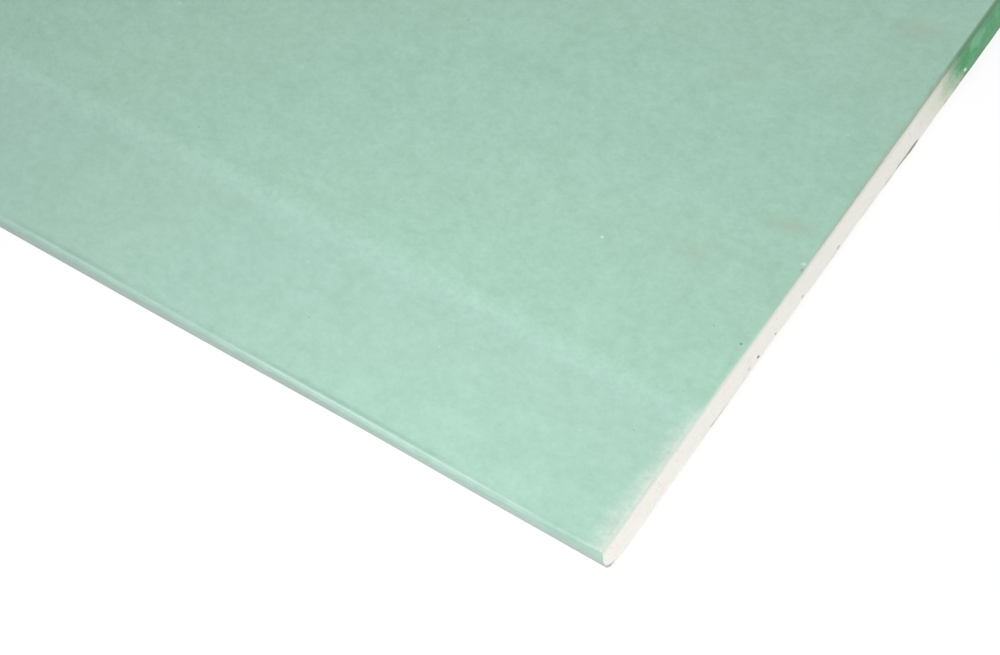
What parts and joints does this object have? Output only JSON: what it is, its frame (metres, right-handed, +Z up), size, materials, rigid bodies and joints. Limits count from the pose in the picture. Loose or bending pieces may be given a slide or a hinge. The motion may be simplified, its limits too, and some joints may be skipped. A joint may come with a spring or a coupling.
{
  "type": "drywall sheet",
  "caption": "Moisture-resistant drywall sheet: gypsum core bound in green face paper and grey back paper, with tapered long edges and cut ends, to line a stud wall or ceiling.",
  "frame": {"origin": "middle of the sheet's back, on the surface that it lies on", "axes": "+X along the length from cut end to cut end, +Y across the width, +Z up out of the face"},
  "size_m": [2.4, 1.2, 0.0125],
  "materials": {
    "gypsum": "matte",
    "green_paper": "matte",
    "grey_paper": "matte"
  },
  "bodies": {
    "root": {"gypsum_core": "gypsum", "face_paper": "green_paper", "back_paper": "grey_paper"}
  },
  "joints": []
}
